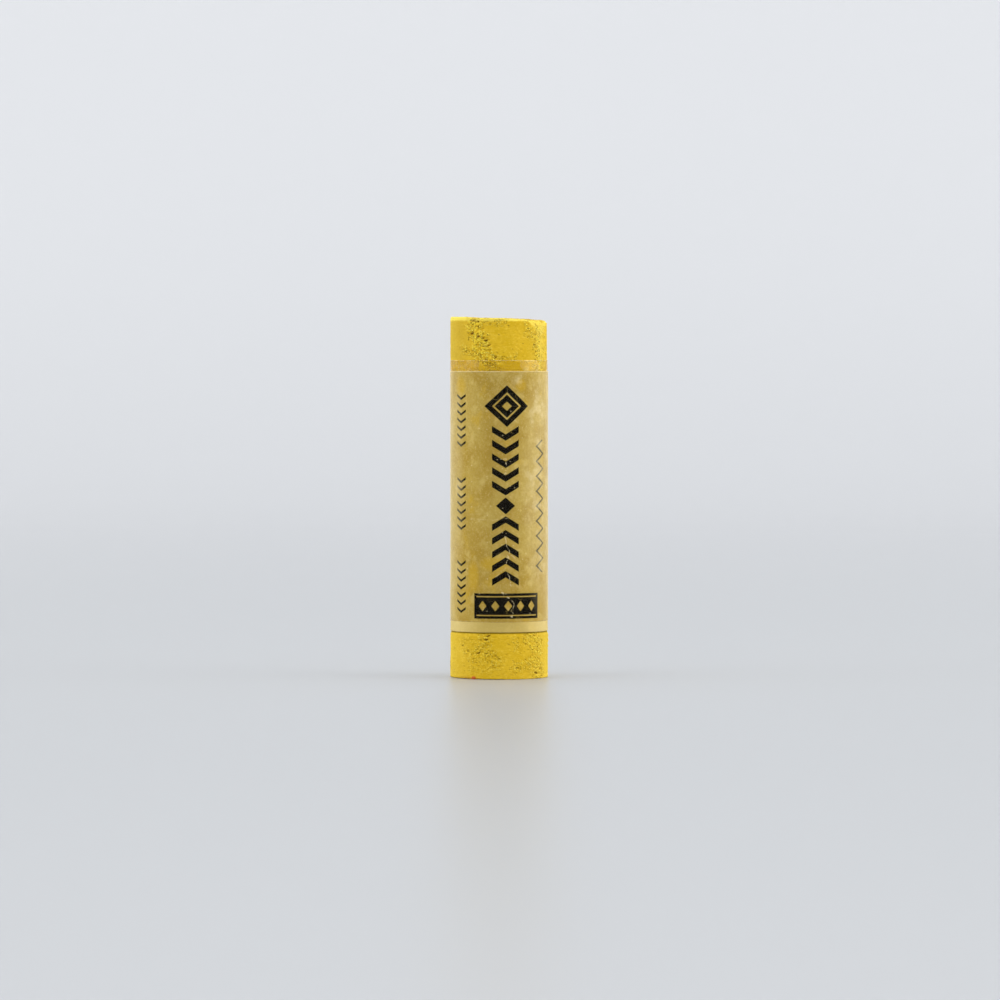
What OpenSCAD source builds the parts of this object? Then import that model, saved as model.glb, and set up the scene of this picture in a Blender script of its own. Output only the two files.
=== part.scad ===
// Soft pastel stick: a round stick of pressed pigment, a paper label glued round its middle
// and a clear film wrapped over the label. It stands on its foot with its axis along +Z.
// The front is -Y and the right is +X. Lengths are millimetres and angles are degrees.

/* [Stick] */
// Diameter of the bare ends
stick_d = 15.1; // [10:0.1:25]
// Height of the stick at the high side of its top
stick_h = 55.8; // [48:0.1:90]
// Bare height below the label
foot_bare = 7.2; // [4:0.1:12]
// Bare height above the label, at the high side of the top
head_bare = 8.5; // [7:0.1:14]
// Depth of the shallow seat that the label lies in
seat_depth = 0.13; // [0.12:0.01:0.3]
// Height over which the seat runs on past the label at each end
seat_spare = 0.1; // [0.05:0.05:0.5]
// Height over which the stick swells out of that seat
swell_h = 0.4; // [0.2:0.05:0.5]

/* [Worn ends] */
// Width of the worn bevel round both ends
rim_wear = 0.25; // [0.1:0.05:0.8]
// Lean of the top, down towards the right
top_lean = 1.9; // [0.2:0.1:4]
// Direction of the chipped corner, from the right towards the front
chip_turn = 26; // [0:1:80]
// Depth of the chip at the top
chip_depth = 1.1; // [0.4:0.1:3]
// Height of the chip
chip_h = 2.3; // [1:0.1:5]
// Direction of the scraped side, from the right towards the front
scrape_turn = 18; // [0:1:80]
// Depth of the scraped side at the top
scrape_top = 0.75; // [0.5:0.05:1.5]
// Depth of the scraped side at the label's upper edge
scrape_low = 0.45; // [0.1:0.05:0.45]
// Direction of the worn part of the foot's rim, from the left towards the front
foot_wear_turn = 45; // [0:1:90]
// Height of that wear at the rim
foot_wear_h = 0.24; // [0.1:0.02:0.8]
// Distance from the axis at which that wear starts
foot_wear_in = 3.5; // [2:0.1:4.5]

/* [Paper label] */
// Thickness of the paper
paper_t = 0.08; // [0.05:0.01:0.2]
// Length of the paper's glued overlap at the back
paper_lap = 5; // [2:0.5:8]

/* [Clear film] */
// Thickness of the film
film_t = 0.04; // [0.03:0.01:0.1]
// Height by which the film reaches above the label
film_over = 1.75; // [0.5:0.05:3]
// Height of bare paper left below the film
film_short = 1.6; // [0.5:0.1:4]
// Length of the film's own overlap at the back
film_lap = 5; // [2:0.5:8]
// Distance round the stick between the two overlaps
lap_apart = 2; // [1:0.5:5]
// Width over which the film bridges each side of the paper's overlap
film_bridge = 0.3; // [0.1:0.05:1]

/* [Fits] */
// Glue line between one layer and the next
glue_gap = 0.02; // [0.02:0.01:0.1]

/* [Hidden] */
$fn = 120;

// Stick
stick_r = stick_d / 2;
seat_r = stick_r - seat_depth;
label_h = stick_h - foot_bare - head_bare;
label_top = foot_bare + label_h;
film_foot = foot_bare + film_short;
film_top = label_top + film_over;
top_drop = stick_r * tan(top_lean);
chip_lean = atan(chip_depth / chip_h);
scrape_lean = atan((scrape_top - scrape_low) / head_bare);
foot_wear_lean = atan(foot_wear_h / (stick_r - foot_wear_in));
// Side of a block that is larger than the whole stick
block = 3 * stick_h;

// Paper
paper_r = seat_r + glue_gap;
paper_lap_turn = around(paper_lap, paper_r);
paper_seam = 90 - paper_lap_turn / 2;

// Film. It runs straight on from the label to the band of stick above it.
film_r = paper_r + paper_t + glue_gap;
band_r = film_r - glue_gap;
film_h = film_top - film_foot;
gap_turn = around(glue_gap, film_r);
bridge_turn = around(film_bridge, film_r);
film_lap_turn = around(film_lap, film_r);
relief_from = paper_seam - gap_turn;
relief_to = paper_seam + paper_lap_turn + gap_turn;
film_seam = relief_from - bridge_turn - around(lap_apart, film_r) - film_lap_turn;

// Angle that a length takes up round a circle of radius r
function around(length, r) = length / r * 180 / PI;

// Part of a ring between two directions, turned from the section given
module ring(from, to) {
  rotate([0, 0, from])
    rotate_extrude(angle = to - from)
      children();
}

// Everything beyond a flat at the distance reach from the axis and the height z, which faces
// the direction turn and leans back by lean
module beyond_flat(turn, reach, z, lean) {
  rotate([0, 0, turn])
    translate([reach, 0, z])
      rotate([0, -lean, 0])
        translate([0, -block / 2, -block / 2])
          cube(block);
}

// The stick as it was rolled, a little longer than it is now
module rolled_stick() {
  rotate_extrude()
    polygon([
      [0, 0],
      [stick_r - rim_wear, 0],
      [stick_r, rim_wear],
      [stick_r, foot_bare - seat_spare - swell_h],
      [seat_r, foot_bare - seat_spare],
      [seat_r, label_top + seat_spare],
      [band_r, label_top + seat_spare + swell_h],
      [band_r, film_top + seat_spare],
      [stick_r, film_top + seat_spare + swell_h],
      [stick_r, stick_h + stick_r],
      [0, stick_h + stick_r]
    ]);
}

// All that lies under the leaning top and its worn rim
module under_top() {
  translate([0, 0, stick_h - top_drop])
    rotate([0, top_lean, 0])
      rotate_extrude()
        polygon([
          [0, 0],
          [stick_r - rim_wear, 0],
          [stick_r - rim_wear + stick_h, -stick_h],
          [stick_r - rim_wear + stick_h, -block],
          [0, -block]
        ]);
}

// What has worn off the foot's rim
module foot_wear() {
  rotate([0, 0, 180 + foot_wear_turn])
    translate([foot_wear_in, 0, 0])
      rotate([0, -foot_wear_lean, 0])
        translate([-block / 2, -block / 2, -block])
          cube(block);
}

module pastel_stick() {
  color([0.87, 0.72, 0.18])
    difference() {
      intersection() {
        rolled_stick();
        under_top();
      }
      beyond_flat(-chip_turn, stick_r - chip_depth, stick_h - top_drop, chip_lean);
      beyond_flat(-scrape_turn, stick_r - scrape_top, stick_h, scrape_lean);
      foot_wear();
    }
}

// One sheet once round, two sheets thick where its ends overlap
module paper_label() {
  color([0.82, 0.73, 0.45])
    union() {
      rotate_extrude()
        translate([paper_r, foot_bare])
          square([paper_t, label_h]);
      ring(paper_seam, paper_seam + paper_lap_turn)
        translate([paper_r + paper_t / 2, foot_bare])
          square([paper_t * 3 / 2, label_h]);
    }
}

// Section of the film between two distances from its inner side
module film_section(inside, outside) {
  translate([film_r + inside, film_foot])
    square([outside - inside, film_h]);
}

// One sheet once round, two sheets thick where its ends overlap and raised over the paper's
// overlap
module clear_film() {
  color([0.9, 0.88, 0.75, 0.35])
    difference() {
      union() {
        rotate_extrude()
          film_section(0, film_t);
        ring(film_seam, film_seam + film_lap_turn)
          film_section(film_t / 2, film_t * 2);
        ring(relief_from - bridge_turn, relief_to + bridge_turn)
          film_section(film_t / 2, paper_t + film_t);
      }
      ring(relief_from, relief_to)
        translate([band_r - film_t, film_foot - film_short])
          square([glue_gap + film_t + paper_t, label_top + glue_gap - film_foot + film_short]);
    }
}

pastel_stick();
paper_label();
clear_film();
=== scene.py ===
"""Looks of a soft pastel stick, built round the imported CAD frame: worn pigment, a printed paper
label and a clear film.

Lengths are millimetres until a mesh is made, which turns them into metres. A turn is an angle
round the stick in radians: 0 is +X, the right, and the front, -Y, is at FRONT. A place on the
curved side is (across, up): across is the distance round the surface from the middle of the
front, positive to the right, and up is the height above the foot."""
import math

import bpy
import numpy as np
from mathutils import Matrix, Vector, noise


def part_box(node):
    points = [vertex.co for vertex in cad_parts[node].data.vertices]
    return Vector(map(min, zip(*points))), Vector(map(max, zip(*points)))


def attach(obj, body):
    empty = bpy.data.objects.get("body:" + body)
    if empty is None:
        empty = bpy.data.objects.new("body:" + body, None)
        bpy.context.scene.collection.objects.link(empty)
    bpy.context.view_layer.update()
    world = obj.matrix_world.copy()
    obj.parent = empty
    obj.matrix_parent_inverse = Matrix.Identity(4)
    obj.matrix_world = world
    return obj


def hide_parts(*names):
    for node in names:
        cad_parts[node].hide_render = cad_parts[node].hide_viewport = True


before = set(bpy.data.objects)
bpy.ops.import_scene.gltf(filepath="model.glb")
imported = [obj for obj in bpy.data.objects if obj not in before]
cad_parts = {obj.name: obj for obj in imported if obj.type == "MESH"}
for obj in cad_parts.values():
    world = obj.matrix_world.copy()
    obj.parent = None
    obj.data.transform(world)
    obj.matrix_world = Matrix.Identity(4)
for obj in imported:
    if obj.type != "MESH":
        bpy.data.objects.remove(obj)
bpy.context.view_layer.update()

MM = 0.001
FRONT = -math.pi / 2
FULL_TURN = 2 * math.pi
rng = np.random.default_rng(11)


def cad_size(node):
    """Outer radius, lowest point and highest point of a CAD node, in millimetres."""
    low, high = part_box(node)
    return -low.x / MM, low.z / MM, high.z / MM


STICK_R, _, STICK_H = cad_size("pastel_stick")
PAPER_R, LABEL_FOOT, LABEL_TOP = cad_size("paper_label")
FILM_R, FILM_FOOT, FILM_TOP = cad_size("clear_film")

# The stick, with the sizes of part.scad except where a comment says otherwise
SEAT_DEPTH = 0.13
SEAT_SPARE = 0.1
SWELL = 0.4
SEAT_R = STICK_R - SEAT_DEPTH
TOP_LEAN = math.radians(1.9)
TOP_DROP = STICK_R * math.tan(TOP_LEAN)
CHIP_TURN = math.radians(-26)
CHIP_DEPTH = 1.1
CHIP_H = 2.3
SCRAPE_TURN = math.radians(-18)
SCRAPE_TOP = 0.75
SCRAPE_LOW = 0.45
FOOT_WEAR_TURN = math.radians(225)
# Crumbs fill most of the CAD's wear
FOOT_WEAR_H = 0.06
FOOT_WEAR_IN = 3.5
# Distance round the surface from the middle of the front to the middle of the back
HALF_ROUND = math.pi * STICK_R

# The wrapping. PAPER_LAP and FILM_LAP are the angles that the glued overlaps take up.
PAPER_T = 0.08
FILM_T = 0.04
GLUE = 0.02
LAP_LENGTH = 5
LAPS_APART = 2
FILM_BRIDGE = 0.3
BAND_R = FILM_R - FILM_T - GLUE
PAPER_LAP = LAP_LENGTH / SEAT_R
PAPER_START = math.pi / 2 - PAPER_LAP / 2
FILM_LAP = LAP_LENGTH / FILM_R
FILM_START = PAPER_START - (FILM_BRIDGE + LAPS_APART + GLUE) / FILM_R - FILM_LAP
# Length over which a sheet climbs on to its overlap, and how far before it the climb ends
CLIMB = 0.35
CLIMBED_BEFORE = 0.02


# Fields over the surface

def step(low, high, value):
    """0 up to low, 1 from high on and smooth between them. low may be the higher one."""
    t = np.clip((value - low) / (high - low), 0, 1)
    return t * t * (3 - 2 * t)


def across_of(turn):
    """Distance round the surface from the middle of the front, from -half a turn to half a turn."""
    return STICK_R * ((turn - FRONT + math.pi) % FULL_TURN - math.pi)


def fractal(points, size, octaves=4, fade=0.8):
    """Fractal noise of features about size across at each of the points, mostly from -1 to 1."""
    places = (points / size).reshape(-1, 3).tolist()
    values = [noise.fractal(p, fade, 2.0, octaves) for p in places]
    return np.array(values).reshape(points.shape[:-1])


def crumbs(points, size):
    """Rounded grains of the given size: 1 in the middle of a grain and 0 between grains."""
    places = (points / size).reshape(-1, 3).tolist()
    values = [noise.voronoi(p)[0][0] for p in places]
    return np.clip(1 - 1.4 * np.array(values).reshape(points.shape[:-1]), 0, 1)


def near_path(across, up, path, width, edge):
    """1 within width of a path of places on the surface, fading to 0 over edge."""
    nearest = np.full(across.shape, 1e9)
    for (x0, z0), (x1, z1) in zip(path, path[1:]):
        dx, dz = x1 - x0, z1 - z0
        t = np.clip(((across - x0) * dx + (up - z0) * dz) / (dx * dx + dz * dz), 0, 1)
        nearest = np.minimum(nearest, np.hypot(across - x0 - t * dx, up - z0 - t * dz))
    return 1 - step(width, width + edge, nearest)


# Meshes

STICK_COLUMNS = 400
PAPER_COLUMNS = 400
FILM_COLUMNS = 440
FLOOR_COLUMNS = 96


def make_mesh(name, points, faces, fields=None):
    """A smooth object from points in millimetres. fields are numbers kept for each point."""
    mesh = bpy.data.meshes.new(name)
    mesh.from_pydata((points * MM).tolist(), [], faces)
    mesh.polygons.foreach_set("use_smooth", [True] * len(mesh.polygons))
    for field, values in (fields or {}).items():
        mesh.attributes.new(field, "FLOAT", "POINT").data.foreach_set("value", values.ravel())
    mesh.update()
    piece = bpy.data.objects.new(name, mesh)
    bpy.context.scene.collection.objects.link(piece)
    return piece


def grid_faces(rows, columns, start=0, closed=False, flipped=False):
    """Quads over a grid of points, which closes on itself across if closed."""
    row = np.arange(rows - 1)[:, None] * columns
    column = np.arange(columns if closed else columns - 1)[None, :]
    after = (column + 1) % columns
    quads = np.stack([row + column, row + after, row + columns + after, row + columns + column], -1)
    quads = quads.reshape(-1, 4) + start
    return (quads[:, ::-1] if flipped else quads).tolist()


def spaced(start, end, gap):
    """Numbers from start to just before end, about gap apart."""
    return np.linspace(start, end, max(2, round(abs(end - start) / gap) + 1))[:-1]


def cylinder_points(radius, turn, up):
    """Points at the given distances from the axis, turns and heights."""
    return np.stack(np.broadcast_arrays(radius * np.cos(turn), radius * np.sin(turn), up), -1)


# The stick

def plane(turn, reach, up, lean):
    """A worn flat: a point on it and the way it faces, from its direction, distance and lean."""
    out = np.array([math.cos(turn), math.sin(turn), 0])
    return out * reach + [0, 0, up], out * math.cos(lean) + [0, 0, math.sin(lean)]


def reach_to(flat, origin, ray):
    """How far along each ray a flat lies, as a share of the ray. 9 where it isn't ahead."""
    point, normal = flat
    towards = ray @ normal
    return np.where(towards > 1e-6, (point - origin) @ normal / np.maximum(towards, 1e-6), 9)


def blended(nearest, other, width):
    """The lesser of two reaches, with the edge between them worn round."""
    overlap = np.maximum(width - abs(nearest - other), 0) / width
    return np.minimum(nearest, other) - overlap * overlap * width / 4


def side_radius(up):
    """Radius of the stick as rolled, with the seat of the label pressed into it."""
    below = step(LABEL_FOOT - SEAT_SPARE, LABEL_FOOT - SEAT_SPARE - SWELL, up)
    beside = step(LABEL_TOP + SEAT_SPARE, LABEL_TOP + SEAT_SPARE + SWELL, up)
    above = step(FILM_TOP + SEAT_SPARE, FILM_TOP + SEAT_SPARE + SWELL, up)
    return SEAT_R + SEAT_DEPTH * below + (BAND_R - SEAT_R) * beside + (STICK_R - BAND_R) * above


def stick_outline():
    """(distance from the axis, height) of the stick as rolled, from its foot to its top."""
    side_gap, rim_gap, inner_gap, hidden_gap = 0.1, 0.14, 0.8, 5
    innermost, rim_from = 0.3, 6.3
    # The fine rows run on this far under the wrapping
    tucked = 0.3
    inner = spaced(innermost, rim_from, inner_gap)
    foot = [(r, 0) for r in (*inner, *spaced(rim_from, STICK_R, rim_gap))]
    ups = [
        *spaced(0, LABEL_FOOT + tucked, side_gap),
        *spaced(LABEL_FOOT + tucked, LABEL_TOP - tucked, hidden_gap),
        *spaced(LABEL_TOP - tucked, STICK_H, side_gap),
    ]
    side = [(side_radius(up), up) for up in ups]
    top = [(r, STICK_H) for r in (*spaced(STICK_R, innermost, rim_gap), innermost)]
    return np.array(foot + side + top)


def worn_flats():
    """The flats that the stick lies behind: top, foot, worn rim of the foot, chip and scrape."""
    top_up = STICK_H - TOP_DROP
    wear_lean = math.atan(FOOT_WEAR_H / (STICK_R - FOOT_WEAR_IN))
    chip_lean = math.atan(CHIP_DEPTH / CHIP_H)
    scrape_lean = math.atan((SCRAPE_TOP - SCRAPE_LOW) / (STICK_H - LABEL_TOP))
    top = plane(0, 0, top_up, math.pi / 2 - TOP_LEAN)
    foot = plane(0, 0, 0, -math.pi / 2)
    foot_wear = plane(FOOT_WEAR_TURN, FOOT_WEAR_IN, 0, wear_lean - math.pi / 2)
    chip = plane(CHIP_TURN, STICK_R - CHIP_DEPTH, top_up, chip_lean)
    scrape = plane(SCRAPE_TURN, STICK_R - SCRAPE_TOP, STICK_H, scrape_lean)
    return top, foot, foot_wear, chip, scrape


def worn_form(radius, turn, height):
    """The stick with its worn flats: its points, the way out at each of them, and where it's
    chipped and scraped."""
    top, foot, foot_wear, chip, scrape = worn_flats()
    # Rays run out from the axis, level except near both ends, where they fan out
    low_origin, high_origin = 6, 46
    target = cylinder_points(radius, turn, height)
    origin = np.zeros_like(target)
    origin[..., 2] = np.clip(height, low_origin, high_origin)
    ray = target - origin
    level = np.hypot(ray[..., 0], ray[..., 1])

    # How wide the edges between the flats are worn round, as shares of the reach
    foot_edge, chip_edge, scrape_edge = 0.012, 0.04, 0.03
    top_edge = 0.05 + 0.03 * step(-0.3, 0.9, ray[..., 0] / level)
    at_cap = (height == 0) | (height == STICK_H)
    whole = np.where(at_cap, STICK_R, radius) / level
    for flat in (foot, foot_wear):
        whole = blended(whole, reach_to(flat, origin, ray), foot_edge)
    chip_reach = reach_to(chip, origin, ray)
    scrape_reach = reach_to(scrape, origin, ray)
    chipped = step(0.0, 0.02, whole - chip_reach)
    scraped = step(0.004, 0.04, whole - scrape_reach) * (1 - chipped)
    worn = blended(blended(whole, chip_reach, chip_edge), scrape_reach, scrape_edge)
    worn = blended(worn, reach_to(top, origin, ray), top_edge)
    out = ray / np.linalg.norm(ray, axis=-1, keepdims=True)
    return origin + ray * worn[..., None], out, chipped, scraped


CRUMBLED = [
    # path of a crumbled patch, its half width and how rough it is
    (
        [(-4.3, 55.6), (-3.8, 53.4), (-2.7, 52.0), (-3.2, 50.6), (-1.6, 49.4), (-0.9, 47.3)],
        0.9, 1.0,
    ),
    ([(-3.6, 55.2), (0.6, 55.0)], 0.35, 0.6),
    ([(-6.2, 50.9), (-4.2, 50.6), (-4.0, 49.6)], 0.3, 0.7),
    ([(-1.4, 49.0), (2.6, 49.6)], 0.2, 0.5),
    ([(-2.4, 6.9), (-2.2, 5.4), (-3.2, 4.4), (-1.2, 3.4), (-0.4, 2.6)], 0.8, 0.55),
    ([(-5.6, 4.2), (-4.2, 2.9), (-2.6, 3.6)], 0.45, 0.45),
    ([(-6.0, 5.6), (-3.4, 5.4)], 0.4, 0.3),
    ([(-4.6, 1.6), (-1.6, 1.4)], 0.4, 0.3),
    ([(5.2, 6.6), (6.8, 5.2), (6.4, 3.4), (7.0, 0.6)], 1.1, 0.6),
    ([(2.4, 6.0), (3.0, 4.6)], 0.35, 0.4),
    ([(2.6, 1.6), (4.2, 2.4), (5.6, 1.6)], 0.5, 0.5),
    ([(7.4, 53.6), (7.0, 51.0), (7.3, 47.3)], 0.8, 0.9),
    ([(4.6, 54.6), (5.4, 53.0)], 0.3, 0.8),
    ([(14.5, 55.4), (16.0, 53.0), (15.2, 51.0)], 0.8, 0.9),
    ([(-16.0, 55.4), (-15.0, 54.0)], 0.6, 0.8),
    ([(-19.0, 51.0), (-17.4, 50.2)], 0.5, 0.6),
    ([(19.5, 6.0), (18.0, 4.0), (18.6, 2.6)], 0.7, 0.8),
    ([(-13.0, 2.8), (-11.6, 1.6)], 0.6, 0.7),
    ([(12.0, 5.6), (12.8, 4.8)], 0.5, 0.6),
]
SMALL_PITS = 130  # on each bare end
DEEP_PITS = [
    # across, up, half length and depth of the pits that stand out
    (-2.6, 52.5, 0.34, 0.34), (-2.1, 52.1, 0.26, 0.32), (-4.4, 53.3, 0.4, 0.32),
    (-1.6, 51.4, 0.4, 0.24), (-6.2, 50.8, 0.28, 0.2), (-4.3, 50.6, 0.24, 0.2),
    (-3.7, 50.2, 0.3, 0.2), (-3.6, 55.0, 0.5, 0.24), (0.9, 53.1, 0.3, 0.1),
    (2.7, 53.5, 0.18, 0.08), (2.7, 51.9, 0.22, 0.12), (2.8, 51.2, 0.16, 0.1),
    (3.5, 50.7, 0.24, 0.16), (0.6, 49.6, 0.26, 0.12), (-0.4, 49.6, 0.3, 0.14),
    (2.3, 49.5, 0.16, 0.12), (4.8, 54.0, 0.22, 0.26), (5.4, 53.3, 0.2, 0.24),
    (-1.7, 6.7, 0.36, 0.24), (-2.1, 6.1, 0.34, 0.26), (-6.4, 5.1, 0.18, 0.2),
    (-5.3, 4.2, 0.16, 0.2), (-3.4, 4.0, 0.4, 0.22), (-1.9, 4.0, 0.24, 0.22),
    (-0.6, 3.6, 0.26, 0.24), (1.1, 3.8, 0.16, 0.12), (2.9, 6.4, 0.2, 0.14),
    (2.4, 5.0, 0.14, 0.12), (2.8, 1.7, 0.34, 0.16), (6.0, 6.7, 0.26, 0.24),
    (7.2, 5.3, 0.2, 0.2), (7.4, 1.5, 0.2, 0.26), (6.5, 0.8, 0.4, 0.24),
    (4.4, 5.4, 0.16, 0.14), (15.5, 52.6, 0.4, 0.34), (14.8, 54.4, 0.3, 0.3),
    (18.4, 4.2, 0.36, 0.34), (19.2, 5.6, 0.26, 0.24), (-12.2, 2.2, 0.3, 0.26),
]


def small_pits():
    """Small pits at random on both bare ends: across, up, half length and depth of each."""
    return [
        (
            rng.uniform(-HALF_ROUND, HALF_ROUND),
            rng.uniform(*span),
            rng.uniform(0.07, 0.22),
            rng.uniform(0.03, 0.1),
        )
        for span in ((0, LABEL_FOOT), (LABEL_TOP, STICK_H))
        for _ in range(SMALL_PITS)
    ]


def pits(across, up):
    """Short dents that lie along the rolling direction, with a raised lower lip."""
    depth = np.zeros(across.shape)
    for place, height, length, deep in [*DEEP_PITS, *small_pits()]:
        along = (across - place + HALF_ROUND) % (2 * HALF_ROUND) - HALF_ROUND
        tilt = rng.uniform(-0.35, 0.35)
        rise = up - height - tilt * along
        thick = 0.055 + 0.1 * deep + 0.12 * length
        depth -= deep * np.exp(-((along / length) ** 4) - (rise / thick) ** 2)
        lip = rise + 2.1 * thick
        depth += 0.3 * deep * np.exp(-((along / length / 1.2) ** 2) - (lip / thick) ** 2)
    return depth


def crumbled_patches(across, up, ragged):
    """How rough the surface has crumbled, from 0 for whole to 1."""
    rough = np.zeros(up.shape)
    for path, width, roughness in CRUMBLED:
        patch = near_path(across + 0.6 * ragged, up + 0.5 * ragged, path, width, 0.7)
        rough = np.maximum(rough, roughness * patch)
    return rough


def bare_share(up):
    """1 on both bare ends and 0 under the paper."""
    below = 1 - step(LABEL_FOOT - 0.25, LABEL_FOOT + 0.05, up)
    return np.maximum(below, step(LABEL_TOP - 0.1, LABEL_TOP + 0.15, up))


def rolled_grain(base):
    """Slight waves, furrows round the stick and grain, all over."""
    rolled = 0.02 * fractal(base, 2.2, 3) + 0.012 * fractal(base * [1, 1, 14], 2.6, 3)
    return rolled + 0.010 * fractal(base, 0.3, 3)


def crumbling(base, rough):
    """Clumps and hollows where the surface is rough."""
    clumps = 0.17 * crumbs(base * [1, 1, 1.5], 0.46) + 0.08 * crumbs(base * [1, 1, 1.3] + 7, 0.28)
    hollows = np.clip(fractal(base * [1, 1, 1.5] + 3, 0.9, 4, 0.6), 0, 1)
    return rough * (clumps - 0.26 * hollows - 0.03)


def rim_crumbling(base, up):
    """What has crumbled off both rims, less at the foot than at the top."""
    rim = np.exp(-(((up - STICK_H + 0.5) / 0.4) ** 2)) + 0.4 * np.exp(-((up / 0.35) ** 2))
    return -0.12 * rim * np.clip(fractal(base, 0.6, 4, 0.6) + 0.15, 0, 1)


def rubbed_off(across, up, from_axis):
    """What is rubbed off broadly: at the top's left and right corner and down the right side."""
    rubbed = 0.13 * np.exp(-(((across + 4.1) / 1.2) ** 2) - ((up - STICK_H + 0.2) / 0.5) ** 2)
    rubbed += 0.1 * near_path(across, up, [(11.6, 47.0), (11.6, 56)], 1.2, 1.5)
    right_corner = np.exp(-(((across - 11.4) / 1.8) ** 2) - ((up - STICK_H + 0.5) / 0.45) ** 2)
    return rubbed + 0.5 * right_corner * step(STICK_R - 1.4, STICK_R - 0.5, from_axis)


def fresh_break_and_rim_highlight(base, across, ragged, chipped, scraped):
    """A painted highlight of 1.7 along the top's rim, and how much freshly broken pigment shows,
    less, on the chip and the part of the scrape that faces the front."""
    below_top = STICK_H - TOP_DROP - base[..., 0] * math.tan(TOP_LEAN) - base[..., 2]
    rim_width = 0.45 - 0.02 * base[..., 0]
    # Painted highlight along the top's rim
    rim = step(rim_width + 0.12, rim_width - 0.12, below_top + 0.12 * ragged)
    scraped = scraped * (1 - step(8.5, 11, across))
    return np.maximum(1.2 * chipped + 0.7 * scraped, 1.7 * rim)


def surface_wear(base, chipped, scraped):
    """How far the surface stands off the worn form, how much is rubbed off broadly, how rough it
    is, how freshly broken, with a painted highlight along the top's rim, and whether it's the top
    face."""
    across = across_of(np.arctan2(base[..., 1], base[..., 0]))
    up = base[..., 2]
    from_axis = np.hypot(base[..., 0], base[..., 1])
    bare = bare_share(up)
    inside_rim = 1 - step(STICK_R - 0.5, STICK_R - 0.15, from_axis)
    on_top = step(STICK_H - 0.8, STICK_H - 0.35, up) * inside_rim
    ragged = fractal(base, 0.7, 3)
    rough = crumbled_patches(across, up, ragged) * (1 - on_top)
    rough = np.maximum(rough, 0.7 * scraped * step(-0.3, 0.4, ragged))
    rough = np.maximum(rough, 0.4 * chipped)

    top_rough = on_top * (0.05 * fractal(base, 0.9, 5, 0.6) - 0.03)
    dents = pits(across, up) * (1 - on_top)
    worn = rolled_grain(base) + crumbling(base, rough) + top_rough + rim_crumbling(base, up) + dents
    # It stands out less under the film, which lies close to it
    highest = np.where((up > LABEL_TOP - 0.1) & (up < FILM_TOP + 0.1), 0.012, 0.12)
    worn = np.minimum(worn * bare, highest)
    # A lump of another stick's pigment on the foot's rim
    foot_lump = 0.16 * np.exp(-(((across + 4.2) / 0.38) ** 2) - ((up - 0.15) / 0.28) ** 2)
    rubbed = rubbed_off(across, up, from_axis) * bare
    fresh_and_rim_highlight = fresh_break_and_rim_highlight(base, across, ragged, chipped, scraped) * (1 - on_top)
    return worn + foot_lump, rubbed, rough * bare, fresh_and_rim_highlight, on_top


def pastel_stick():
    """One closed mesh, which keeps its wear, with the painted highlight along the top's rim, as
    fields for the material.
    """
    outline = stick_outline()
    rows, columns = len(outline), STICK_COLUMNS
    turn = np.arange(columns) * FULL_TURN / columns
    base, out, chipped, scraped = worn_form(outline[:, 0:1], turn[None, :], outline[:, 1:2])
    worn, rubbed, rough, fresh_and_rim_highlight, on_top = surface_wear(base, chipped, scraped)
    points = base + out * (worn - rubbed)[..., None]
    points[..., 2] = np.clip(points[..., 2], 0, STICK_H)
    faces = grid_faces(rows, columns, closed=True)
    low_pole, high_pole = rows * columns, rows * columns + 1
    for column in range(columns):
        after = (column + 1) % columns
        faces.append((low_pole, after, column))
        faces.append((high_pole, (rows - 1) * columns + column, (rows - 1) * columns + after))
    poles = np.array([points[0].mean(0), points[-1].mean(0)])
    fields = {
        "dent": np.append(worn, [0, 0]),
        "rough": np.append(rough, [0, 0]),
        "fresh_and_rim_highlight": np.append(fresh_and_rim_highlight, [0, 0]),
        "on_top": np.append(on_top, [0, 1]),
    }
    return make_mesh("pastel_body", np.vstack([points.reshape(-1, 3), poles]), faces, fields)


# The wrapping

def bulge(turn, up):
    """How far the wrapping stands off its true round, where what lies under it pushes it out."""
    points = cylinder_points(STICK_R, turn, up)
    return 0.022 * np.clip(fractal(points, 5.0, 3) + 0.3, 0, 1)


def over_paper_lap(turn):
    """1 over the paper's overlap, with a climb on both sides."""
    from_middle = (turn - PAPER_START - PAPER_LAP / 2 + math.pi) % FULL_TURN - math.pi
    return 1 - step(0, CLIMB / FILM_R, abs(from_middle) - PAPER_LAP / 2)


def on_itself(turn, start, radius):
    """1 where a sheet that begins at start has come round and lies on its own beginning."""
    return step(FULL_TURN - CLIMB / radius, FULL_TURN - CLIMBED_BEFORE / radius, turn - start)


def sheet_mesh(name, outer, inner, fields=None):
    """A closed sheet between two grids of points."""
    rows, columns = outer.shape[:2]
    count = rows * columns
    faces = grid_faces(rows, columns) + grid_faces(rows, columns, count, flipped=True)
    bottom = [(i, i + 1) for i in range(columns - 1)]
    top = [(count - columns + i + 1, count - columns + i) for i in range(columns - 1)]
    left = [((i + 1) * columns, i * columns) for i in range(rows - 1)]
    right = [((i + 1) * columns - 1, (i + 2) * columns - 1) for i in range(rows - 1)]
    faces += [(b, a, a + count, b + count) for a, b in bottom + top + left + right]
    points = np.vstack([outer.reshape(-1, 3), inner.reshape(-1, 3)])
    both = {field: np.concatenate([v.ravel(), v.ravel()]) for field, v in (fields or {}).items()}
    return make_mesh(name, points, faces, both)


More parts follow.
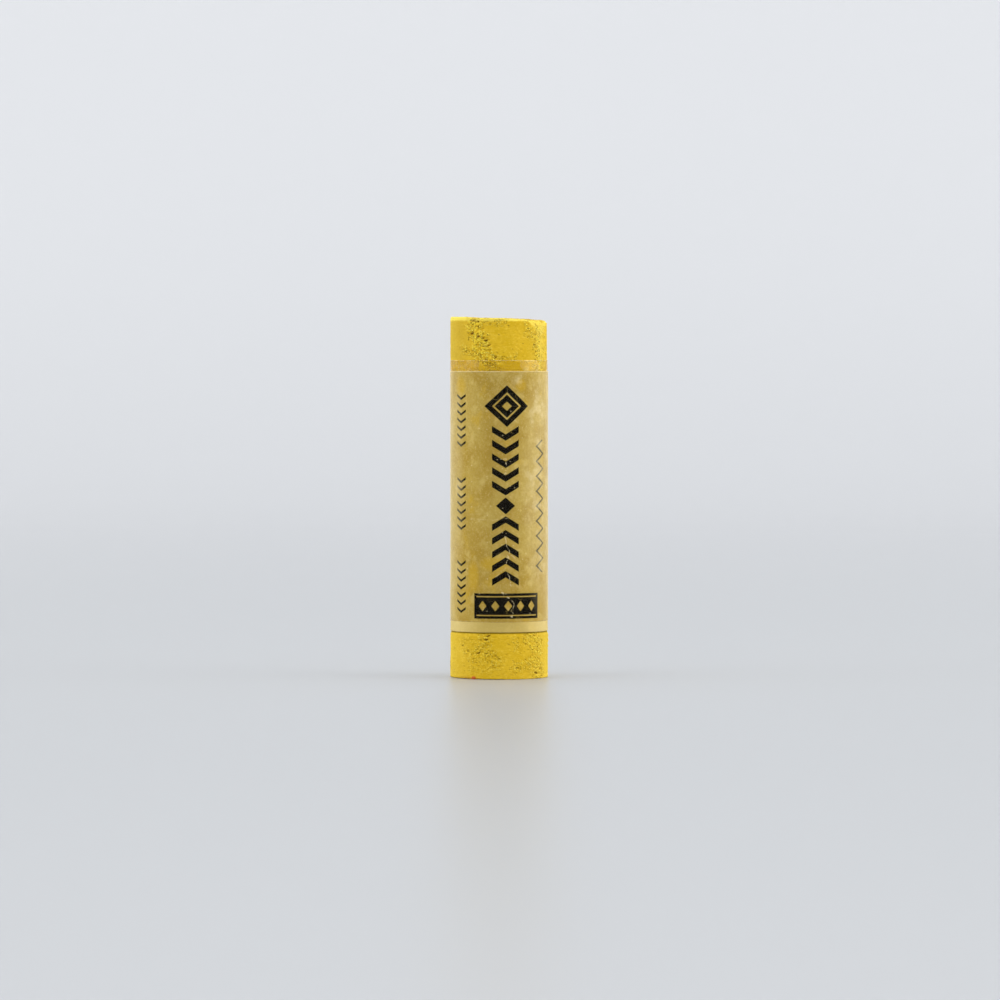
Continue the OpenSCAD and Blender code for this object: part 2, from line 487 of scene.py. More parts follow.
def paper_label():
    """One sheet that goes once round and lies on its own beginning at the back."""
    turn = np.linspace(PAPER_START, PAPER_START + FULL_TURN + PAPER_LAP, PAPER_COLUMNS)[None, :]
    up = np.array([
        *spaced(LABEL_FOOT, LABEL_FOOT + 0.4, 0.1),
        *spaced(LABEL_FOOT + 0.4, LABEL_TOP - 0.4, 0.5),
        *spaced(LABEL_TOP - 0.4, LABEL_TOP + 0.1, 0.1),
    ])[:, None]
    up = up + 0 * turn
    # The cut edges are a little uneven, and the lower one curls away from the stick
    edge = cylinder_points(1, turn, 0 * up)
    ends = step(LABEL_FOOT + 0.8, LABEL_FOOT, up) - step(LABEL_TOP - 0.8, LABEL_TOP, up)
    up = up + 0.035 * ends * np.clip(fractal(edge, 0.35, 3) + 0.6, 0, 1)
    curl = 0.03 * step(LABEL_FOOT + 1.2, LABEL_FOOT, up) * (1 + fractal(edge, 0.5, 2))
    lifted = on_itself(turn, PAPER_START, PAPER_R) * (PAPER_T + 0.003)
    outer_r = PAPER_R + bulge(turn, up) + lifted + curl
    outer = cylinder_points(outer_r, turn, up)
    inner = cylinder_points(outer_r - PAPER_T, turn, up)
    return sheet_mesh("printed_label", outer, inner)


def looseness(points, across, up):
    """1 where the film stands off the band of bare pastel above the label, 0 where it sticks."""
    patches = np.maximum(
        near_path(across, up, [(-9.5, 48.4), (-5.0, 48.2)], 1.5, 0.9),
        near_path(across, up, [(4.6, 48.4), (6.0, 48.2)], 1.0, 0.6),
    )
    at_back = step(12, 14, across) + step(-9, -11, across)
    lift = at_back * 0.3 + (1 - at_back) * (0.9 * patches - 0.25)
    return step(0.05, 0.5, 0.6 * fractal(points * [1, 1, 0.8], 2.8, 3) + lift)


def film_radius(turn, up, points, loose):
    """Outer radius of the film: raised over the overlaps, and stepped in above the label."""
    over_paper = over_paper_lap(turn) * (PAPER_T + 0.004)
    label_r = FILM_R + (bulge(turn, up) + over_paper)
    wrinkles = 0.03 * np.clip(fractal(points * [1, 1, 5], 2.2, 4), 0, 1)
    band_r = FILM_R - 0.01 + loose * (0.02 + wrinkles)
    tent = 0.18 + 0.16 * loose
    stepped_in = step(LABEL_TOP + 0.02, LABEL_TOP + 0.02 + tent, up)
    fold = 0.02 * np.exp(-(((up - LABEL_TOP) / 0.12) ** 2))
    lifted = on_itself(turn, FILM_START, FILM_R) * (FILM_T + 0.004)
    return label_r + (band_r - label_r) * stepped_in + fold + lifted


def clear_film():
    """One sheet like the label's, over the label and a band of bare pastel above it."""
    turn = np.linspace(FILM_START, FILM_START + FULL_TURN + FILM_LAP, FILM_COLUMNS)[None, :]
    up = np.array([
        *spaced(FILM_FOOT, LABEL_TOP - 0.3, 0.5),
        *spaced(LABEL_TOP - 0.3, FILM_TOP + 0.08, 0.08),
    ])[:, None]
    up = up + 0 * turn
    points = cylinder_points(STICK_R, turn, up)
    loose = looseness(points, across_of(turn) + 0 * up, up)
    radius = film_radius(turn, up, points, loose)
    # The upper edge is cut a little unevenly
    edge = cylinder_points(1, turn, 0 * up)
    up = up + 0.03 * step(FILM_TOP - 0.4, FILM_TOP, up) * fractal(edge, 0.4, 3)
    up = np.minimum(up, FILM_TOP)
    fields = {"loose": loose * step(LABEL_TOP, LABEL_TOP + 0.2, up)}
    outer = cylinder_points(radius, turn, up)
    inner = cylinder_points(radius - FILM_T, turn, up)
    return sheet_mesh("film_wrap", outer, inner, fields)


CREASES = [
    # path of a crease in the film, how pale the paper looks under it and its width
    ([(-4.6, 24.7), (-1.0, 24.5), (1.2, 24.8)], 0.16, 0.12),
    ([(0.9, 22.0), (1.5, 19.4), (1.1, 17.2), (1.9, 14.4)], 0.6, 0.13),
    ([(1.5, 19.4), (2.6, 18.6)], 0.4, 0.1),
    ([(1.0, 17.2), (-0.4, 15.8)], 0.35, 0.1),
    ([(0.4, 13.4), (2.2, 11.8), (2.0, 9.6)], 0.6, 0.12),
    ([(4.8, 48.2), (6.2, 47.2)], 0.5, 0.12),
    ([(7.0, 45.9), (7.3, 41.0), (7.7, 35.0)], 0.3, 0.14),
    ([(-0.3, 33.8), (1.1, 33.9), (1.1, 31.5)], 0.6, 0.1),
    ([(17.0, 40.0), (18.5, 33.0), (17.6, 26.0)], 0.3, 0.12),
    ([(-17.0, 20.0), (-13.5, 19.6)], 0.3, 0.1),
]


# Materials

def linear(red, green, blue):
    """A colour of 0 to 255 as the linear values that shaders take."""
    shares = [c / 255 for c in (red, green, blue)]
    return (*[c / 12.92 if c <= 0.04045 else ((c + 0.055) / 1.055) ** 2.4 for c in shares], 1)


class Term:
    """A number in a material's nodes, which takes part in sums as a plain number does."""

    def __init__(self, tree, socket):
        self.tree, self.socket = tree, socket

    def math(self, operation, *others):
        node = self.tree.nodes.new("ShaderNodeMath")
        node.operation = operation
        for slot, value in zip(node.inputs, (self, *others)):
            feed(self.tree, value, slot)
        return Term(self.tree, node.outputs[0])

    def __add__(self, other):
        return self.math("ADD", other)

    def __sub__(self, other):
        return self.math("SUBTRACT", other)

    def __mul__(self, other):
        return self.math("MULTIPLY", other)

    def __truediv__(self, other):
        return self.math("DIVIDE", other)

    def __abs__(self):
        return self.math("ABSOLUTE")

    def inverse(self):
        """1 less the number."""
        return self * -1 + 1

    def least(self, other):
        return self.math("MINIMUM", other)

    def most(self, other):
        return self.math("MAXIMUM", other)

    def repeated(self, pitch):
        """The number measured from the nearest multiple of pitch."""
        return ((self / pitch + 0.5).math("FRACT") - 0.5) * pitch

    def rising(self, low, high):
        """0 up to low, 1 from high on and smooth between them. low may be the higher one."""
        node = self.tree.nodes.new("ShaderNodeMapRange")
        node.interpolation_type = "SMOOTHSTEP"
        feed(self.tree, self, node.inputs["Value"])
        if low > high:
            low, high = high, low
            node.inputs["To Min"].default_value = 1
            node.inputs["To Max"].default_value = 0
        node.inputs["From Min"].default_value = low
        node.inputs["From Max"].default_value = high
        return Term(self.tree, node.outputs["Result"])


def feed(tree, value, slot):
    """Links a Term or a socket to slot, or sets slot to a plain value."""
    if isinstance(value, Term):
        tree.links.new(value.socket, slot)
    elif isinstance(value, bpy.types.NodeSocket):
        tree.links.new(value, slot)
    else:
        slot.default_value = value


class Surface:
    """A material with a Principled shader, and short ways to add to its nodes."""

    def __init__(self, name):
        self.material = bpy.data.materials.new(name)
        self.material.use_nodes = True
        self.tree = self.material.node_tree
        self.shader = self.tree.nodes["Principled BSDF"]
        where = self.tree.nodes.new("ShaderNodeTexCoord").outputs["Object"]
        scale = self.tree.nodes.new("ShaderNodeVectorMath")
        scale.operation = "SCALE"
        scale.inputs["Scale"].default_value = 1 / MM
        self.tree.links.new(where, scale.inputs[0])
        self.place = scale.outputs[0]
        split = self.tree.nodes.new("ShaderNodeSeparateXYZ")
        self.tree.links.new(self.place, split.inputs[0])
        self.x, self.y, self.up = [Term(self.tree, split.outputs[axis]) for axis in "XYZ"]

    def across(self):
        """Distance round the surface from the middle of the front."""
        return self.x.math("ARCTAN2", self.y * -1) * PAPER_R

    def stretched(self, x, y, z):
        """The place multiplied along each axis, which makes a pattern that much finer there."""
        node = self.tree.nodes.new("ShaderNodeVectorMath")
        node.operation = "MULTIPLY"
        node.inputs[1].default_value = (x, y, z)
        self.tree.links.new(self.place, node.inputs[0])
        return node.outputs[0]

    def noise(self, size, detail=3, place=None, roughness=0.5):
        node = self.tree.nodes.new("ShaderNodeTexNoise")
        node.inputs["Scale"].default_value = 1 / size
        node.inputs["Detail"].default_value = detail
        node.inputs["Roughness"].default_value = roughness
        self.tree.links.new(place or self.place, node.inputs["Vector"])
        return Term(self.tree, node.outputs["Fac"])

    def cells(self, size, place=None):
        """Distance from the nearest of scattered dots, as a share of size, and the dot's number,
        from 0 to 1."""
        node = self.tree.nodes.new("ShaderNodeTexVoronoi")
        node.inputs["Scale"].default_value = 1 / size
        self.tree.links.new(place or self.place, node.inputs["Vector"])
        split = self.tree.nodes.new("ShaderNodeSeparateXYZ")
        self.tree.links.new(node.outputs["Color"], split.inputs[0])
        return Term(self.tree, node.outputs["Distance"]), Term(self.tree, split.outputs[0])

    def field(self, name):
        """A number that the mesh keeps for each point."""
        node = self.tree.nodes.new("ShaderNodeAttribute")
        node.attribute_name = name
        return Term(self.tree, node.outputs["Fac"])

    def mix(self, share, under, over):
        """The colour under, with a share of the colour over on it."""
        node = self.tree.nodes.new("ShaderNodeMix")
        node.data_type = "RGBA"
        feed(self.tree, share, node.inputs["Factor"])
        feed(self.tree, under, node.inputs[6])
        feed(self.tree, over, node.inputs[7])
        return node.outputs[2]

    def mix_shader(self, share, under, over):
        node = self.tree.nodes.new("ShaderNodeMixShader")
        feed(self.tree, share, node.inputs[0])
        feed(self.tree, under, node.inputs[1])
        feed(self.tree, over, node.inputs[2])
        return node.outputs[0]

    def bump(self, height, distance, after=None):
        """A bump that rises by distance, in millimetres, where height rises by 1."""
        node = self.tree.nodes.new("ShaderNodeBump")
        node.inputs["Distance"].default_value = distance * MM
        feed(self.tree, height, node.inputs["Height"])
        if after is not None:
            self.tree.links.new(after, node.inputs["Normal"])
        return node.outputs[0]

    def set(self, **values):
        """Feeds the shader's inputs. Their names have _ in place of spaces."""
        for name, value in values.items():
            feed(self.tree, value, self.shader.inputs[name.replace("_", " ")])


def spot(across, up, x, z, half_w, half_h):
    """1 in the middle of a soft spot at (x, z), fading to 0 at its edge."""
    beyond_x, beyond_z = (across - x) / half_w, (up - z) / half_h
    return (beyond_x * beyond_x + beyond_z * beyond_z).rising(1, 0.1)


def line(across, up, path, width):
    """1 on a path of places on the surface, fading to 0 at width from it."""
    nearest = None
    for (x0, z0), (x1, z1) in zip(path, path[1:]):
        dx, dz = x1 - x0, z1 - z0
        share = ((across - x0) * dx + (up - z0) * dz) / (dx * dx + dz * dz)
        share = share.least(1).most(0)
        off_x, off_z = across - x0 - share * dx, up - z0 - share * dz
        away = (off_x * off_x + off_z * off_z).math("SQRT")
        nearest = away if nearest is None else nearest.least(away)
    return nearest.rising(width, width * 0.3)


def rolled_pigment(s, mottle, streak, powder):
    """Smooth pigment: mottled, streaked by the rolling and powdery, with painted shade on the left
    of the upper end.
    """
    colour = s.mix(mottle.rising(0.35, 0.65), linear(226, 190, 34), linear(232, 197, 46))
    colour = s.mix(streak.rising(0.5, 0.72) * 0.45, colour, linear(212, 174, 20))
    colour = s.mix(powder.rising(0.5, 0.7) * 0.5, colour, linear(246, 217, 78))
    colour = s.mix(powder.rising(0.46, 0.3) * 0.4, colour, linear(206, 166, 18))
    # Painted shade: the left of the upper end is a little darker
    darker = s.x.rising(-3.5, -6.5) * s.up.rising(47.5, 50)
    return s.mix(darker * 0.5, colour, linear(196, 160, 28))


def broken_pigment(s, colour, mottle, grain):
    """Brighter where it's freshly broken, with a painted highlight along the top's rim, paler at
    both sides with painted sheen and darker on the top face with painted shade.
    """
    fresh_and_rim_highlight = s.field("fresh_and_rim_highlight")
    dusted = grain.rising(0.25, 0.5) * 0.4 + 0.6
    colour = s.mix(fresh_and_rim_highlight.least(1) * dusted, colour, linear(240, 211, 74))
    # Painted highlight along the top's rim
    colour = s.mix((fresh_and_rim_highlight - 1).most(0) * dusted, colour, linear(255, 242, 110))
    # Painted sheen makes both sides paler
    colour = s.mix(abs(s.x).rising(3, 7.5) * 0.16, colour, linear(244, 220, 112))
    # Painted shade makes the top face darker
    top_colour = s.mix(mottle.rising(0.4, 0.6), linear(200, 164, 30), linear(214, 180, 44))
    return s.mix(s.field("on_top") * 0.75, colour, top_colour)


def pocked_pigment(s, colour):
    """Small pocks with painted shade in them, and loose grains in groups. Gives the colour and the
    pocks.
    """
    fleck, chosen = s.cells(0.47, s.stretched(0.62, 0.62, 1.7))
    flecks = fleck.rising(0.3, 0.1) * s.noise(1.6, 2).rising(0.42, 0.6)
    pocks = flecks * chosen.rising(0.66, 0.74)
    loose_grains = flecks * chosen.rising(0.24, 0.16)
    # Painted shade in the pocks
    colour = s.mix(pocks * 0.6, colour, linear(172, 130, 14))
    return s.mix(loose_grains * 0.5, colour, linear(252, 230, 92)), pocks


def crumbled_pigment(s, colour, powder):
    """Crumbled patches, a mass of lumps with painted highlights and hollows with painted shade, and
    the pits, with painted shade in them and painted highlights where the surface stands out. Gives
    the colour, the lumps and the hollows."""
    dent, rough = s.field("dent"), s.field("rough")
    clump, height = s.cells(0.36, s.stretched(1, 1, 1.4))
    lumps = rough * clump.rising(0.6, 0.2) * height.rising(0.38, 0.5)
    hollows = rough * clump.rising(0.6, 0.3) * height.rising(0.34, 0.22)
    colour = s.mix(rough * powder.rising(0.6, 0.4) * 0.4, colour, linear(196, 150, 10))
    # Painted shade in the hollows and painted highlights on the lumps
    colour = s.mix(hollows * 0.65, colour, linear(146, 102, 6))
    colour = s.mix(lumps * 0.9, colour, linear(253, 236, 100))
    # Painted shade in the pits and painted highlights where the surface stands out
    colour = s.mix(dent.rising(-0.05, -0.22) * 0.85, colour, linear(126, 82, 8))
    colour = s.mix(dent.rising(0.02, 0.08) * 0.6, colour, linear(252, 228, 66))
    return colour, lumps, hollows


def soiled_and_edge_shaded_pigment(s, colour, powder):
    """Pigment with glue, a painted shadow along the label's lower edge, brown crumbs and a lump of
    another colour on it.
    """
    across, up = s.across(), s.up
    # Glue has wetted the pigment under the film, except where the film has lifted at the right
    band = up.rising(FILM_TOP + 0.1, FILM_TOP - 0.1) * up.rising(LABEL_FOOT, LABEL_TOP)
    wetted = band * s.noise(2.2, 3, s.stretched(1, 1, 1.4)).rising(0.3, 0.5)
    wetted = wetted * spot(across, up, 6.8, 48.2, 3.4, 5).inverse()
    colour = s.mix(wetted * 0.6, colour, linear(206, 164, 8))
    # Painted shadow along the label's lower edge
    painted_edge_shadow = up.rising(LABEL_FOOT - 0.3, LABEL_FOOT - 0.05)
    painted_edge_shadow = painted_edge_shadow * up.rising(LABEL_FOOT + 0.3, LABEL_FOOT + 0.1)
    colour = s.mix(painted_edge_shadow * 0.75, colour, linear(112, 86, 16))
    # Brown crumbs lie along the worn rim of the foot
    crumbs_on_rim = spot(across, up, -5.4, 0, 3.4, 0.5) * powder.rising(0.35, 0.6)
    colour = s.mix(crumbs_on_rim * 0.6, colour, linear(196, 134, 54))
    # A lump of another stick's pigment sticks to the foot's rim
    red = spot(across, up, -4.1, 0.15, 0.55, 0.45)
    return s.mix(red * 0.9, colour, linear(204, 84, 44))


def pastel_material():
    s = Surface("pastel_pigment")
    mottle = s.noise(2.6, 3)
    streak = s.noise(1.7, 4, s.stretched(1, 1, 11), 0.6)
    grain = s.noise(0.11, 2, roughness=0.7)
    powder = s.noise(0.34, 3, s.stretched(0.7, 0.7, 1.3), 0.65)
    colour = rolled_pigment(s, mottle, streak, powder)
    colour = broken_pigment(s, colour, mottle, grain)
    colour, pocks = pocked_pigment(s, colour)
    colour, lumps, hollows = crumbled_pigment(s, colour, powder)
    colour = soiled_and_edge_shaded_pigment(s, colour, powder)
    normal = s.bump(grain, 0.02)
    normal = s.bump(powder, 0.07, normal)
    normal = s.bump(streak, 0.05, normal)
    normal = s.bump(lumps - hollows - pocks * 0.7, 0.16, normal)
    s.set(Base_Color=colour, Roughness=grain * 0.12 + 0.86, Normal=normal)
    s.set(Specular_IOR_Level=0.2, Diffuse_Roughness=0.9)
    return s.material


def box_shape(x, z, half_w, half_h):
    """Below 0 inside an upright rectangle."""
    return (abs(x) - half_w).most(abs(z) - half_h)


def lozenge(x, z, half_w, half_h):
    """Below 0 inside a lozenge."""
    return (abs(x) / half_w + abs(z) / half_h - 1) * (half_w * half_h / math.hypot(half_w, half_h))


def chevron_column(x, z, middle):
    """Chevrons that point away from a lozenge in the middle of a column."""
    height = abs(z - middle)
    risen = height - abs(x) * 0.6
    stroke = abs(risen.repeated(2.1)) - 0.5
    ribbon = stroke.most(abs(x) - 2.1).most(abs(risen - 6.3) - 4.8)
    return ribbon.least(lozenge(x, height, 1.5, 1.3))


def top_mark(x, z):
    """A dark lozenge with a pale ring and a pale heart."""
    ring = abs(lozenge(x, z, 2.1, 1.95)) - 0.12
    heart = lozenge(x, z, 0.75, 0.7)
    return lozenge(x, z, 3.5, 3.2).most(ring * -1).most(heart * -1)


def foot_band(x, z):
    """A dark band with a row of pale lozenges and two pale lines."""
    row = lozenge(x.repeated(2.0), z, 0.62, 0.8).most(abs(x) - 4.7)
    lines = box_shape(x, abs(z) - 1.45, 5, 0.09)
    return box_shape(x, z, 5.4, 1.95).most(row * -1).most(lines * -1)


def chevron_groups(x, z):
    """Three groups of small chevrons, one above the other."""
    risen = z.repeated(12.8) - abs(x) * 0.55
    stroke = abs(risen.repeated(1.2)) - 0.19
    return stroke.most(abs(x) - 1.05).most(abs(risen) - 4.2)


def zigzag(x, z):
    """A zigzag line along the label's side."""
    stroke = abs(x - abs(z.repeated(2.3)) * 1.5 + 0.85) - 0.26
    return stroke.most(abs(z) - 10.2)


def printed_shape(across, up):
    """Below 0 where the label is printed."""
    motifs = [
        chevron_column(across - 1.0, up, 26.7),
        top_mark(across - 1.2, up - 42.0),
        foot_band(across - 1.4, up - 11.3),
        chevron_groups(across + 6.7, up - 26.7),
        zigzag(across - 7.4, up - 26.6),
    ]
    shape = motifs[0]
    for motif in motifs[1:]:
        shape = shape.least(motif)
    return shape


STAINS = [
    # across, up, half width and half height of the large stains
    (-6.9, 45.0, 1.5, 1.9), (3.5, 45.2, 1.1, 1.2), (-4.2, 15.8, 1.2, 3.0), (-0.6, 17.8, 3.0, 1.5),
]


def stains(s, across, up):
    """Where pigment dust has stained the paper yellow."""
    stain = s.noise(3.0, 3, s.stretched(1.0, 1.0, 0.8)).rising(0.58, 0.74) * 0.7
    for x, z, half_w, half_h in STAINS:
        stain = stain.most(spot(across, up, x, z, half_w, half_h) * 0.8)
    return stain * (s.noise(0.6, 4, roughness=0.65) * 0.8 + 0.55).least(1)


def let_go_and_sheen(s, across, up):
    """How pale the paper looks where the film's glue has let go of it, in bubbles and along
    creases, and where painted sheen lies at both sides."""
    patchy_haze_and_sheen = s.noise(2.2, 4, roughness=0.6).rising(0.45, 0.75)
    # Painted sheen down the right side, where bubbles are also more common
    sheen_and_bubble_streak = spot(across, up, 6.9, 41.0, 2.6, 8.5)
    middle = spot(across, up, 1.6, 17.0, 1.8, 11)
    bubble, chosen = s.cells(0.6)
    pale = bubble.rising(0.2, 0.08) * (chosen + sheen_and_bubble_streak * 0.3 + middle * 0.25).rising(0.78, 0.82) * 0.5
    # Painted sheen in streaks at both sides
    pale = pale.most(sheen_and_bubble_streak * (patchy_haze_and_sheen * 0.5 + 0.1))
    pale = pale.most(spot(across, up, 8.5, 30.0, 5.5, 24) * (patchy_haze_and_sheen * 0.35 + 0.16))
    pale = pale.most(spot(across, up, 3.2, 46.2, 1.6, 1.6) * patchy_haze_and_sheen * 0.4)
    pale = pale.most(spot(across, up, -9.2, 30.0, 3.6, 24) * (patchy_haze_and_sheen * 0.25 + 0.14))
    broken = s.noise(0.4, 2).rising(0.44, 0.54)
    wandering = across + (s.noise(0.9, 3) - 0.5) * 1.6
    for path, strength, width in CREASES:
        pale = pale.most(line(wandering, up, path, width) * broken * strength)
    return pale


def plain_paper(s, across, up, blotch):
    """Aged paper: mottled, blotched and fibrous, with yellow stains and specks of dust."""
    mottle = s.noise(4.2, 3)
    fibre = s.noise(0.5, 3, s.stretched(1, 1, 0.35), 0.6)
    flock = s.noise(0.34, 4, roughness=0.7)
    colour = s.mix(mottle.rising(0.35, 0.65), linear(170, 140, 57), linear(184, 157, 76))
    colour = s.mix(blotch.rising(0.5, 0.7) * 0.5, colour, linear(208, 183, 108))
    colour = s.mix(fibre.rising(0.55, 0.75) * 0.25, colour, linear(166, 132, 48))
    colour = s.mix(flock.rising(0.5, 0.68) * 0.35, colour, linear(216, 192, 120))
    colour = s.mix(flock.rising(0.47, 0.3) * 0.3, colour, linear(158, 124, 44))
    colour = s.mix(stains(s, across, up) * 0.6, colour, linear(204, 164, 30))
    specks, chosen = s.cells(0.7)
    dust = specks.rising(0.13, 0.05)
    colour = s.mix(dust * chosen.rising(0.74, 0.76) * 0.6, colour, linear(236, 210, 118))
    return s.mix(dust * chosen.rising(0.06, 0.04) * 0.5, colour, linear(120, 92, 40))


def ink_share(s, across, up, blotch):
    """How much ink there is, with rough edges, worn specks and fine scratches."""
    edge = s.noise(0.16, 2) * 0.12 - 0.06
    ink = (printed_shape(across, up) + edge).rising(0.03, -0.03)
    worn = s.noise(0.3, 4, roughness=0.7).rising(0.66, 0.74)
    scratches = abs(s.noise(2.4, 2, s.stretched(1, 1, 1.6)) - 0.5).rising(0.006, 0.002)
    scratches = scratches * blotch.rising(0.52, 0.6)
    return ink * (worn * 0.5).inverse() * (scratches * 0.4).inverse()


def paper_material():
    s = Surface("printed_paper")
    across, up = s.across(), s.up
    blotch = s.noise(1.7, 4, roughness=0.6)
    tooth = s.noise(0.09, 2)
    colour = plain_paper(s, across, up, blotch)
    colour = s.mix(ink_share(s, across, up, blotch), colour, linear(9, 7, 3))
    # The strip below the film is bare, drier and paler, and painted light makes it paler still
    # towards both sides
    bare = up.rising(FILM_FOOT + 0.05, FILM_FOOT - 0.05)
    bare_paper_and_side_light = s.mix(abs(s.x).rising(2, 7), linear(198, 173, 90), linear(228, 205, 132))
    colour = s.mix(bare * 0.6, colour, bare_paper_and_side_light)
    # Pale where the film has let go, and painted sheen at both sides
    colour = s.mix(let_go_and_sheen(s, across, up) * bare.inverse(), colour, linear(238, 222, 174))
    normal = s.bump(tooth, 0.01)
    normal = s.bump(blotch, 0.05, normal)
    s.set(Base_Color=colour, Roughness=tooth * 0.15 + 0.65, Normal=normal)
    # Under the film the paper has no gloss of its own
    s.set(Specular_IOR_Level=bare * 0.5 + 0.05)
    return s.material


def film_marks_and_fold_highlight(up, patchy):
    """How pale the film's cut edges are, and a painted highlight along its fold over the label's
    upper edge.
    """
    cut = up.rising(FILM_TOP - 0.14, FILM_TOP - 0.06) * patchy.rising(0.35, 0.6)
    cut = cut + up.rising(FILM_FOOT + 0.1, FILM_FOOT + 0.04) * 0.6
    # Painted highlight along the fold
    fold = abs(up - LABEL_TOP).rising(0.13, 0.05) * (patchy * 0.8 + 0.5).least(1)
    return (cut * 0.35 + fold * 0.5).least(1)


def film_mirror(s, normal):
    """A faint warm mirror, and how much it reflects, which is more at a flat angle."""
    mirror = s.tree.nodes.new("ShaderNodeBsdfAnisotropic")
    mirror.inputs["Color"].default_value = linear(255, 240, 208)
    mirror.inputs["Roughness"].default_value = 0.16
    s.tree.links.new(normal, mirror.inputs["Normal"])
    fresnel = s.tree.nodes.new("ShaderNodeFresnel")
    fresnel.inputs["IOR"].default_value = 1.22
    s.tree.links.new(normal, fresnel.inputs["Normal"])
    return mirror.outputs[0], Term(s.tree, fresnel.outputs[0])


def film_material():
    s = Surface("glossy_film")
    up, loose = s.up, s.field("loose")
    patchy = s.noise(0.8, 3, roughness=0.6)
    marks_and_fold_highlight = film_marks_and_fold_highlight(up, patchy)
    milky = loose * (patchy.rising(0.4, 0.65) * 0.3 + 0.2)
    colour = s.mix(patchy.rising(0.4, 0.65), linear(206, 164, 54), linear(228, 190, 84))
    # Painted light: paler towards the right side
    colour = s.mix(s.x.rising(0, 4), colour, linear(250, 220, 122))
    colour = s.mix(loose, linear(244, 220, 160), colour)
    # Pale cut edges and a painted highlight along the fold
    colour = s.mix(marks_and_fold_highlight, colour, linear(248, 230, 160))
    normal = s.bump(patchy, 0.02)
    s.set(Base_Color=colour, Roughness=0.35, Normal=normal)

    # The outer side is clear with a faint mirror, and paler where it's milky or marked, with a
    # painted highlight along the fold, and, over the label, where it's seen at a flat angle, which
    # is a painted sheen. The inner side stays clear.
    mirror, mirrored = film_mirror(s, normal)
    grazed = (mirrored - 0.015).most(0) * up.rising(LABEL_TOP + 0.1, LABEL_TOP)
    nodes = s.tree.nodes
    clear = nodes.new("ShaderNodeBsdfTransparent").outputs[0]
    glossy = s.mix_shader(mirrored.least(0.2), clear, mirror)
    outside = s.mix_shader((milky + marks_and_fold_highlight + grazed).least(0.9), glossy, s.shader.outputs[0])
    inside = nodes.new("ShaderNodeNewGeometry").outputs["Backfacing"]
    film = s.mix_shader(inside, outside, clear)
    s.tree.links.new(film, nodes["Material Output"].inputs["Surface"])
    return s.material


# The object

PIECES = [
    (pastel_stick, "pastel_stick", "pastel", pastel_material),
    (paper_label, "paper_label", "label_paper", paper_material),
    (clear_film, "clear_film", "clear_film", film_material),
]
for build, node, slot, material in PIECES:
    piece = build()
    piece.data.materials.append(material())
    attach(piece, "root")
    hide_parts(node)


# The stage

FLOOR_R = 650
BOWL_FILLET = 450
BOWL_H = 460
# Distances from the middle at which the floor starts and stops getting paler
PALER_FROM = 100
PALEST_FROM = 1500


def floor_material():
    """Pale satin card, with painted shade near the middle, where the top softbox lights it most,
    and painted light that makes it paler towards the wall that it curves up into.
    """
    s = Surface("pale_floor")
    from_middle = (s.x * s.x + s.y * s.y).math("SQRT")
    # Painted shade near the middle and painted light towards the wall
    pale = from_middle.rising(PALER_FROM, PALEST_FROM)
    s.set(Base_Color=s.mix(pale, linear(169, 171, 173), linear(246, 246, 247)))
    s.set(Roughness=0.36, Specular_IOR_Level=0.5)
    return s.material


def bowl():
    """A pale floor that curves up into a wall all round, with no seam."""
    innermost, ring_gap, bend_step = 20, 100, 6
    outline = [(r, 0) for r in spaced(innermost, FLOOR_R, ring_gap)]
    for bend in np.radians(np.arange(0, 91, bend_step)):
        away, up = math.sin(bend), 1 - math.cos(bend)
        outline.append((FLOOR_R + BOWL_FILLET * away, BOWL_FILLET * up))
    outline.append((FLOOR_R + BOWL_FILLET, BOWL_H))
    outline = np.array(outline)
    turn = np.arange(FLOOR_COLUMNS) * FULL_TURN / FLOOR_COLUMNS
    points = cylinder_points(outline[:, 0:1], turn[None, :], outline[:, 1:2])
    faces = grid_faces(len(outline), FLOOR_COLUMNS, closed=True, flipped=True)
    faces.append(tuple(range(FLOOR_COLUMNS)))
    floor = make_mesh("floor", points.reshape(-1, 3), faces)
    floor.data.materials.append(floor_material())


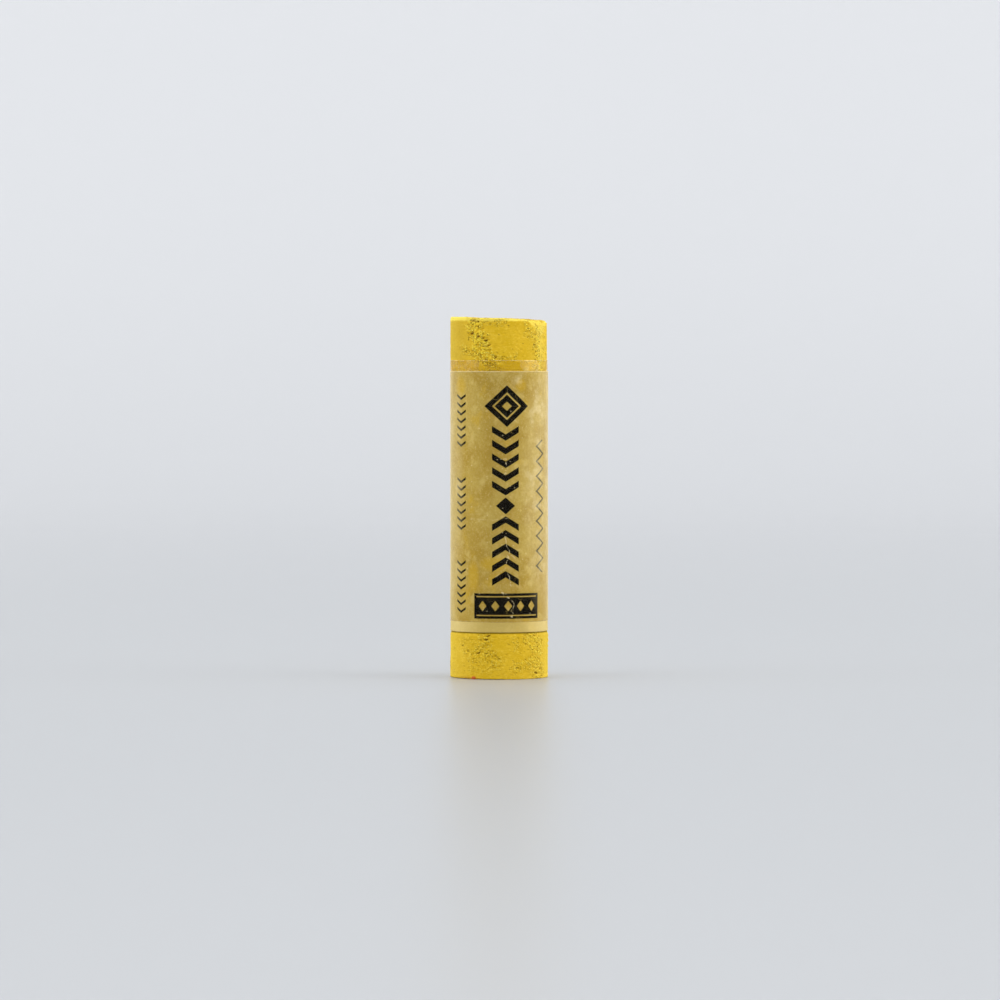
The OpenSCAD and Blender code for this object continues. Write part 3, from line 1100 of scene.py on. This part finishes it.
def facing(place, aim):
    """Rotation of a lamp or camera at place that looks at aim."""
    return (Vector(aim) - Vector(place)).to_track_quat("-Z", "Y").to_euler()


def softbox(name, place, aim, width, height, power, spread=180, colour=(1, 1, 1)):
    """A lamp of so many watts that neither the camera nor a reflection shows."""
    light = bpy.data.lights.new(name, "AREA")
    light.shape = "RECTANGLE"
    light.size, light.size_y = width * MM, height * MM
    light.energy = power
    light.spread = math.radians(spread)
    light.color = colour
    lamp = bpy.data.objects.new(name, light)
    lamp.location = Vector(place) * MM
    lamp.rotation_euler = facing(place, aim)
    lamp.visible_camera = False
    lamp.visible_glossy = False
    bpy.context.scene.collection.objects.link(lamp)


def lighting():
    """A large softbox above, one at each side and a pale world."""
    middle = (0, 0, STICK_H / 2)
    softbox("top_softbox", (0, 60, 720), middle, 500, 400, 1.3)
    # A narrow spread keeps the side softboxes from glaring on the wall near them
    side_spread = 60
    for name, right, power, colour in (
        ("left_softbox", -700, 0.53, (0.97, 0.99, 1)),
        ("right_softbox", 700, 0.68, (1, 0.99, 0.96)),
    ):
        softbox(name, (right, -120, 180), middle, 900, 330, power, side_spread, colour)
    world = bpy.data.worlds.new("studio")
    world.use_nodes = True
    background = world.node_tree.nodes["Background"]
    background.inputs["Color"].default_value = (0.95, 0.97, 1, 1)
    background.inputs["Strength"].default_value = 1.14
    bpy.context.scene.world = world
    bpy.context.scene.view_settings.view_transform = "Standard"


# The stick fills the same part of the frame as in the photo
CAMERA_DISTANCE = 780
CAMERA_UP = 49
CAMERA_RIGHT = 0.13
AIM_UP = 27.4
LENS = 181.3


def camera():
    data = bpy.data.cameras.new("camera")
    data.lens = LENS
    data.sensor_width = 36
    data.clip_start, data.clip_end = 0.01, 10
    eye = bpy.data.objects.new("camera", data)
    place = Vector((CAMERA_RIGHT, -CAMERA_DISTANCE, CAMERA_UP))
    eye.location = place * MM
    eye.rotation_euler = facing(place, (CAMERA_RIGHT, 0, AIM_UP))
    bpy.context.scene.collection.objects.link(eye)
    bpy.context.scene.camera = eye


bowl()
lighting()
camera()
